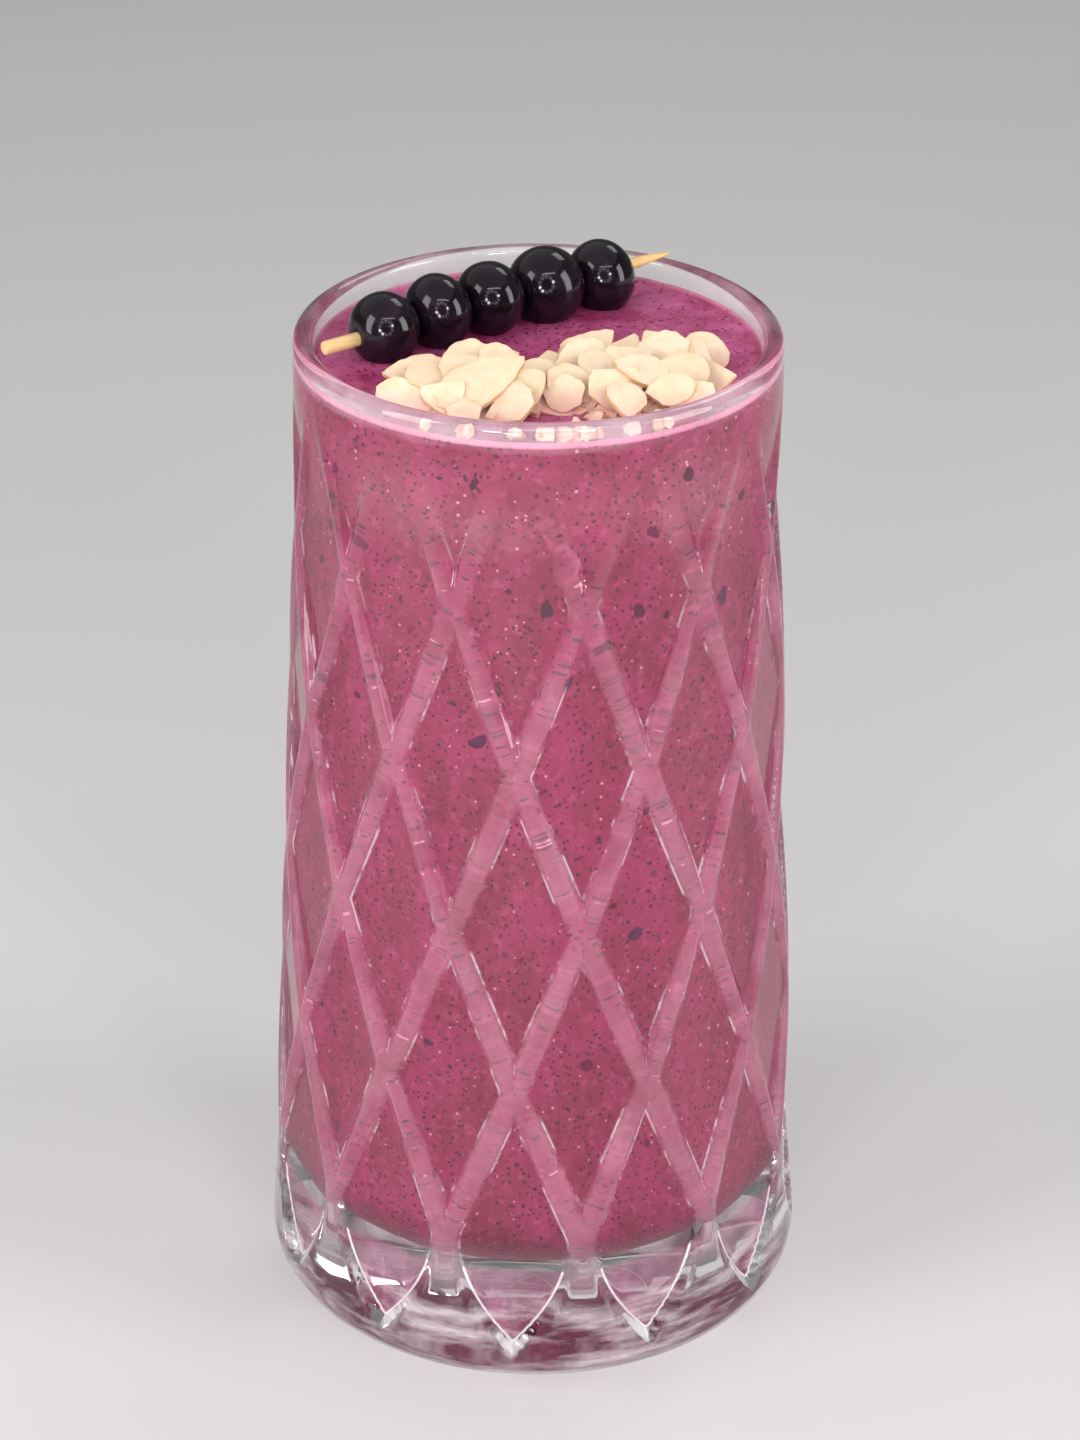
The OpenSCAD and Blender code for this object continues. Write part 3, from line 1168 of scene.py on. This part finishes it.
def almond_look(t, n):
    """Cream slices with fine veins and a tanned edge, their sides darker, partly brown skin
    and partly painted shade, and darker pink low down, partly the drink's stain and
    partly painted shade low in the pile.
    """
    look, tree, place = new_look("almond")
    tone, rim, side = (attribute(tree, name) for name in ("tone", "rim", "side"))
    veins = cloudy(tree, place, 420, 4, 0.6)
    shade = mix(tree, tone * 0.5, t.almond, (0.84, 0.72, 0.56))
    shade = mix(tree, step(veins, 0.42, 0.7) * 0.5, shade, (0.72, 0.48, 0.26))
    shade = mix(tree, step(rim, 0.4, 1) * 0.3, shade, (0.70, 0.46, 0.22))
    # sides darker brown: partly the slices' skin, partly painted shade on sideways faces
    shade = mix(tree, side * 0.8, shade, (0.56, 0.31, 0.12))
    # darker pink low down: partly the drink's stain, partly painted shade low in the pile
    height = add_node(tree, "ShaderNodeSeparateXYZ", None, [place], out="Z")
    wet = cloudy(tree, place, 180, 3, 0.6) * (2.4 * MM)
    low = 1 - step(height - wet, n["level"], n["level"] + 2.6 * MM)
    shade = mix(tree, low * 0.6, shade, (0.52, 0.19, 0.20))
    finish_look(
        tree,
        principled(
            tree,
            {
                "Base Color": shade,
                "Roughness": 0.5,
                "IOR": 1.45,
                "Normal": bumps(tree, veins, 0.5, 0.2 * MM),
            },
        ),
    )
    return look


# Floor, lights and camera


def aim(obj, place, target):
    obj.location = place
    obj.rotation_euler = (Vector(target) - Vector(place)).to_track_quat("-Z", "Y").to_euler()


def lamp(name, place, target, size, power, tall=None):
    light = bpy.data.lights.new(name, "AREA")
    light.shape = "RECTANGLE" if tall else "DISK"
    light.size = size
    if tall:
        light.size_y = tall
    light.energy = power
    obj = bpy.data.objects.new(name, light)
    bpy.context.scene.collection.objects.link(obj)
    aim(obj, place, target)
    return obj


class SMOOTHIE_OT_stage(bpy.types.Operator):
    """Set the floor, the soft lights and the camera"""

    bl_idname = "smoothie.stage"
    bl_label = "Stage"

    def execute(self, context):
        s = sizes("stage")
        scene = context.scene
        deselect()
        bpy.ops.mesh.primitive_plane_add(size=8)
        floor = context.object
        name_piece(floor, "floor")
        look, tree, place = new_look("floor")
        soft = cloudy(tree, place, 3, 3)
        pale = tuple(min(1, c * 1.04) for c in s.floor)
        shade = mix(tree, soft, s.floor, pale)
        finish_look(tree, principled(tree, {"Base Color": shade, "Roughness": 0.6}))
        floor.data.materials.append(look)

        camera = bpy.data.objects.new("camera", bpy.data.cameras.new("camera"))
        scene.collection.objects.link(camera)
        view = math.radians(27.435)
        roll = math.radians(0.352)
        turn = Euler((math.pi / 2 - view, 0, 0)).to_matrix() @ Euler((0, 0, roll)).to_matrix()
        camera.rotation_euler = turn.to_euler()
        back = s.distance * math.cos(view)
        camera.location = (0, -back, s.target + s.distance * math.sin(view))
        camera.data.lens = s.lens
        camera.data.sensor_width = 36
        camera.data.shift_x = 0.0027
        camera.data.clip_start = 0.01
        scene.camera = camera

        middle = (0, 0, 0.11)
        lamp("left_window", (-0.85, -0.45, 0.5), middle, 0.4, 7.4, 0.9)
        lamp("right_window", (0.95, -0.3, 0.45), middle, 0.4, 7.6, 0.9)
        lamp("sky", (-0.3, 0.1, 1.25), middle, 3.2, 10.5)
        lamp("strip", (0.1, -0.55, 0.9), middle, 0.7, 1.0, 0.04)
        lamp("back_glow", (0.5, 0.75, 1.1), middle, 0.5, 2.0, 0.4)
        # a ring of small lamps round the camera, three of them brighter
        ring_r = 0.25
        ahead = (Vector(middle) - camera.location).normalized()
        wide = ahead.cross(Vector((0, 0, 1))).normalized()
        tall = wide.cross(ahead)
        for k in range(10):
            a = math.radians(20 + 36 * k)
            at = camera.location + (wide * math.cos(a) + tall * math.sin(a)) * ring_r
            size, power = (0.1, 0.75) if k in (0, 5, 6) else (0.13, 0.1)
            lamp(f"ring_{k}", at, middle, size, power)

        world = bpy.data.worlds.new("soft_room")
        world.use_nodes = True
        air = world.node_tree.nodes["Background"]
        air.inputs["Color"].default_value = (1, 1, 1, 1)
        air.inputs["Strength"].default_value = 0.15
        scene.world = world
        scene.view_settings.view_transform = "Standard"
        return {"FINISHED"}


class VIEW3D_PT_smoothie(bpy.types.Panel):
    """Lists the pieces of the smoothie"""

    bl_label = "Smoothie"
    bl_space_type = "VIEW_3D"
    bl_region_type = "UI"
    bl_category = "Smoothie"

    def draw(self, context):
        for operator, group in PARTS:
            self.layout.operator(operator.bl_idname)
            if group:
                for key in getattr(context.scene, "smoothie_" + group).__annotations__:
                    self.layout.prop(getattr(context.scene, "smoothie_" + group), key)


PARTS = [
    (SMOOTHIE_OT_stage, "stage"),
    (SMOOTHIE_OT_glass, "glass"),
    (SMOOTHIE_OT_drink, "drink"),
    (SMOOTHIE_OT_berries, "topping"),
    (SMOOTHIE_OT_stick, None),
    (SMOOTHIE_OT_almonds, None),
]
GROUPS = {
    "glass": SmoothieGlassSizes,
    "drink": SmoothieDrinkSizes,
    "topping": SmoothieToppingSizes,
    "stage": SmoothieStageSizes,
}


def register():
    for group, kind in GROUPS.items():
        bpy.utils.register_class(kind)
        setattr(bpy.types.Scene, "smoothie_" + group, PointerProperty(type=kind))
    for operator, group in PARTS:
        bpy.utils.register_class(operator)
    bpy.utils.register_class(VIEW3D_PT_smoothie)


def unregister():
    bpy.utils.unregister_class(VIEW3D_PT_smoothie)
    for operator, group in reversed(PARTS):
        bpy.utils.unregister_class(operator)
    for group, kind in GROUPS.items():
        delattr(bpy.types.Scene, "smoothie_" + group)
        bpy.utils.unregister_class(kind)


def main():
    register()
    bpy.ops.smoothie.stage()
    bpy.ops.smoothie.glass()
    bpy.ops.smoothie.drink()
    bpy.ops.smoothie.berries()
    bpy.ops.smoothie.stick()
    bpy.ops.smoothie.almonds()
    bpy.context.view_layer.update()


if __name__ == "__main__":
    main()
